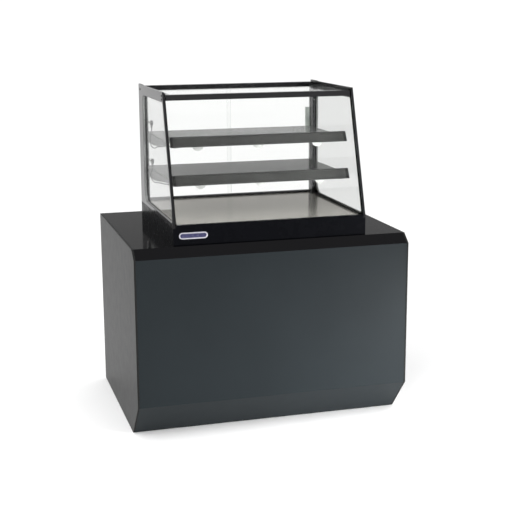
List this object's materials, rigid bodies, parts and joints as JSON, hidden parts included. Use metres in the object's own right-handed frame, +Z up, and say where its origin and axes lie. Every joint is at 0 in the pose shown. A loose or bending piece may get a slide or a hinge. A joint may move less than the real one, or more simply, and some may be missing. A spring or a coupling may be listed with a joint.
{
  "type": "bakery display case",
  "caption": "Slant-front glass bakery case with shelves and rear sliding doors, standing on a black and charcoal service counter with a cabinet below.",
  "frame": {"origin": "centre of the bounding box, on the floor", "axes": "+Z up, -Y towards the customer side, +X to the right seen from the customer side"},
  "size_m": [1.3, 0.99, 1.567],
  "materials": {
    "side_panel_laminate": "satin grey laminate",
    "front_panel_laminate": "satin charcoal laminate",
    "worktop_laminate": "high-gloss black laminate",
    "carcass_board": "plain grey melamine",
    "cabinet_door_laminate": "satin charcoal laminate",
    "zinc_hardware": "bright zinc plate",
    "pull_steel": "brushed stainless",
    "leg_plastic": "moulded black",
    "base_steel": "semi-gloss black powder coat",
    "badge_metal": "satin, plain",
    "deck_steel": "fine brushed stainless",
    "black_frame": "gloss black anodised",
    "clear_glass": "clear, polished edges",
    "gasket_rubber": "matt black",
    "standard_steel": "dark zinc",
    "shelf_steel": "satin stainless",
    "rail_aluminium": "grey anodised",
    "sliding_pull_metal": "satin",
    "black_plastic": "moulded black",
    "lamp_plastic": "opal diffuser",
    "cord_pvc": "dark grey PVC",
    "wire_pvc": "sleeved wire",
    "driver_case": "white moulded",
    "rocker_plastic": "red moulded",
    "screw_black": "black oxide"
  },
  "bodies": {
    "frame": {"left_side_panel": "side_panel_laminate", "right_side_panel": "side_panel_laminate", "front_panel": "front_panel_laminate", "kick_panel": "front_panel_laminate", "rear_kick_panel": "front_panel_laminate", "worktop": "worktop_laminate", "floor_panel": "carcass_board", "divider_panel": "carcass_board", "inner_shelves": "carcass_board", "shelf_pins": "zinc_hardware", "hinge_frame_leaves": "zinc_hardware", "hinge_pins": "zinc_hardware", "light_clips": "zinc_hardware", "plinth_legs": "leg_plastic", "cable_grommet": "leg_plastic", "base_front_panel": "base_steel", "base_side_panels": "base_steel", "base_rear_panel": "base_steel", "base_pan": "base_steel", "badge_plate": "badge_metal", "deck": "deck_steel", "left_end_frame": "black_frame", "right_end_frame": "black_frame", "front_header": "black_frame", "top_side_rails": "black_frame", "rear_top_rail": "black_frame", "rear_sill": "black_frame", "door_jambs": "black_frame", "wire_raceway": "black_frame", "left_end_glass": "clear_glass", "right_end_glass": "clear_glass", "front_glass": "clear_glass", "top_glass": "clear_glass", "end_gaskets": "gasket_rubber", "shelf_standards": "standard_steel", "shelf_brackets": "standard_steel", "upper_shelf": "shelf_steel", "lower_shelf": "shelf_steel", "price_rails": "rail_aluminium", "rail_end_caps": "black_plastic", "light_sockets": "black_plastic", "power_inlet": "black_plastic", "switch_housing": "black_plastic", "light_tubes": "lamp_plastic", "upper_light_cord": "cord_pvc", "lower_light_cord": "cord_pvc", "base_wiring": "wire_pvc", "led_driver": "driver_case", "case_screws": "screw_black"},
    "left_cabinet_door": {"left_cabinet_door": "cabinet_door_laminate", "left_door_leaves": "zinc_hardware", "left_cabinet_pull": "pull_steel"},
    "right_cabinet_door": {"right_cabinet_door": "cabinet_door_laminate", "right_door_leaves": "zinc_hardware", "right_cabinet_pull": "pull_steel"},
    "left_sliding_door": {"left_sliding_door": "clear_glass", "left_sliding_pull": "sliding_pull_metal"},
    "right_sliding_door": {"right_sliding_door": "clear_glass", "right_sliding_pull": "sliding_pull_metal"},
    "switch_rocker": {"switch_rocker": "rocker_plastic"}
  },
  "joints": [
    {"name": "left_cabinet_door_hinge", "type": "hinge", "parent": "frame", "child": "left_cabinet_door", "pos_m": [-0.624, 0.466, 0.3], "axis": [0, 0, 1], "range_deg": [0, 100]},
    {"name": "right_cabinet_door_hinge", "type": "hinge", "parent": "frame", "child": "right_cabinet_door", "pos_m": [0.624, 0.466, 0.3], "axis": [0, 0, 1], "range_deg": [-100, 0]},
    {"name": "left_sliding_door_slide", "type": "slide", "parent": "frame", "child": "left_sliding_door", "axis": [1, 0, 0], "range_m": [0, 0.4]},
    {"name": "right_sliding_door_slide", "type": "slide", "parent": "frame", "child": "right_sliding_door", "axis": [1, 0, 0], "range_m": [-0.4, 0]},
    {"name": "light_switch_rock", "type": "hinge", "parent": "frame", "child": "switch_rocker", "pos_m": [-0.32, 0.339, 0.933], "axis": [1, 0, 0], "range_deg": [0, 16]}
  ]
}
